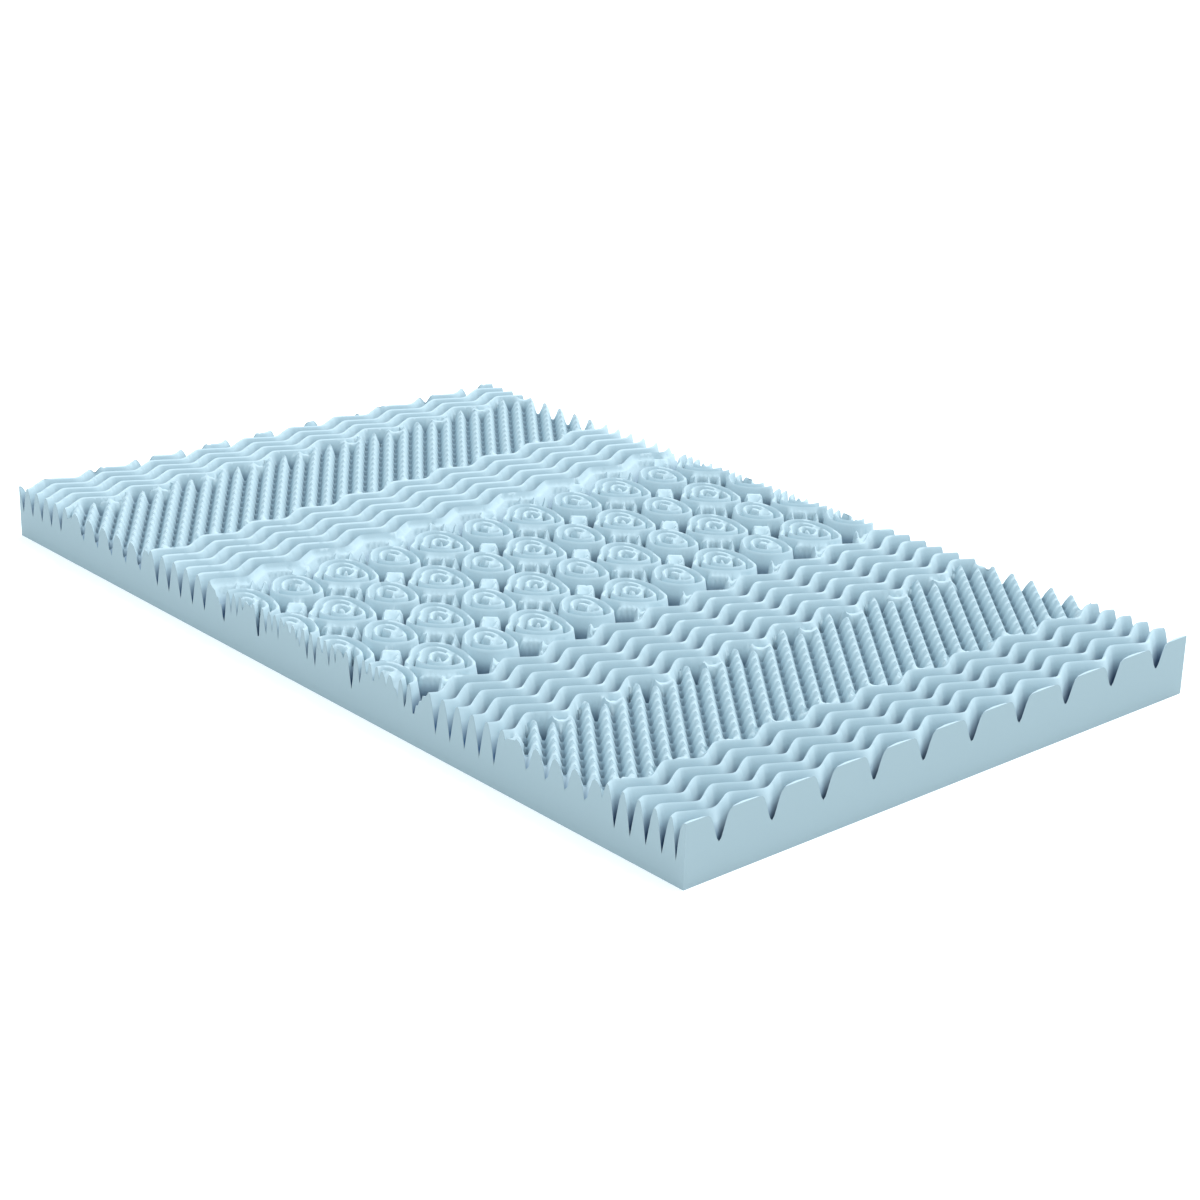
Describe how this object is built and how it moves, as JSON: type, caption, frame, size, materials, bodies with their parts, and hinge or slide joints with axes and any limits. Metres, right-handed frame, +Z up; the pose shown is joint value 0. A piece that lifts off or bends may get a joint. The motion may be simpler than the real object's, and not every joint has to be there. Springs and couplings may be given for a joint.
{
  "type": "mattress topper",
  "caption": "Flat convoluted foam mattress topper with a smooth underside, its top cut in bands of wave ribs, egg-crate points and ring rosettes.",
  "frame": {"origin": "middle of the flat underside, on the surface that the topper lies on", "axes": "+Z up out of the cut top, +Y along the length towards the head end, +X across the width"},
  "size_m": [1.17, 1.9, 0.107],
  "materials": {
    "foam": "matte open-cell foam, pale blue"
  },
  "bodies": {
    "root": {"foam_topper": "foam"}
  },
  "joints": []
}
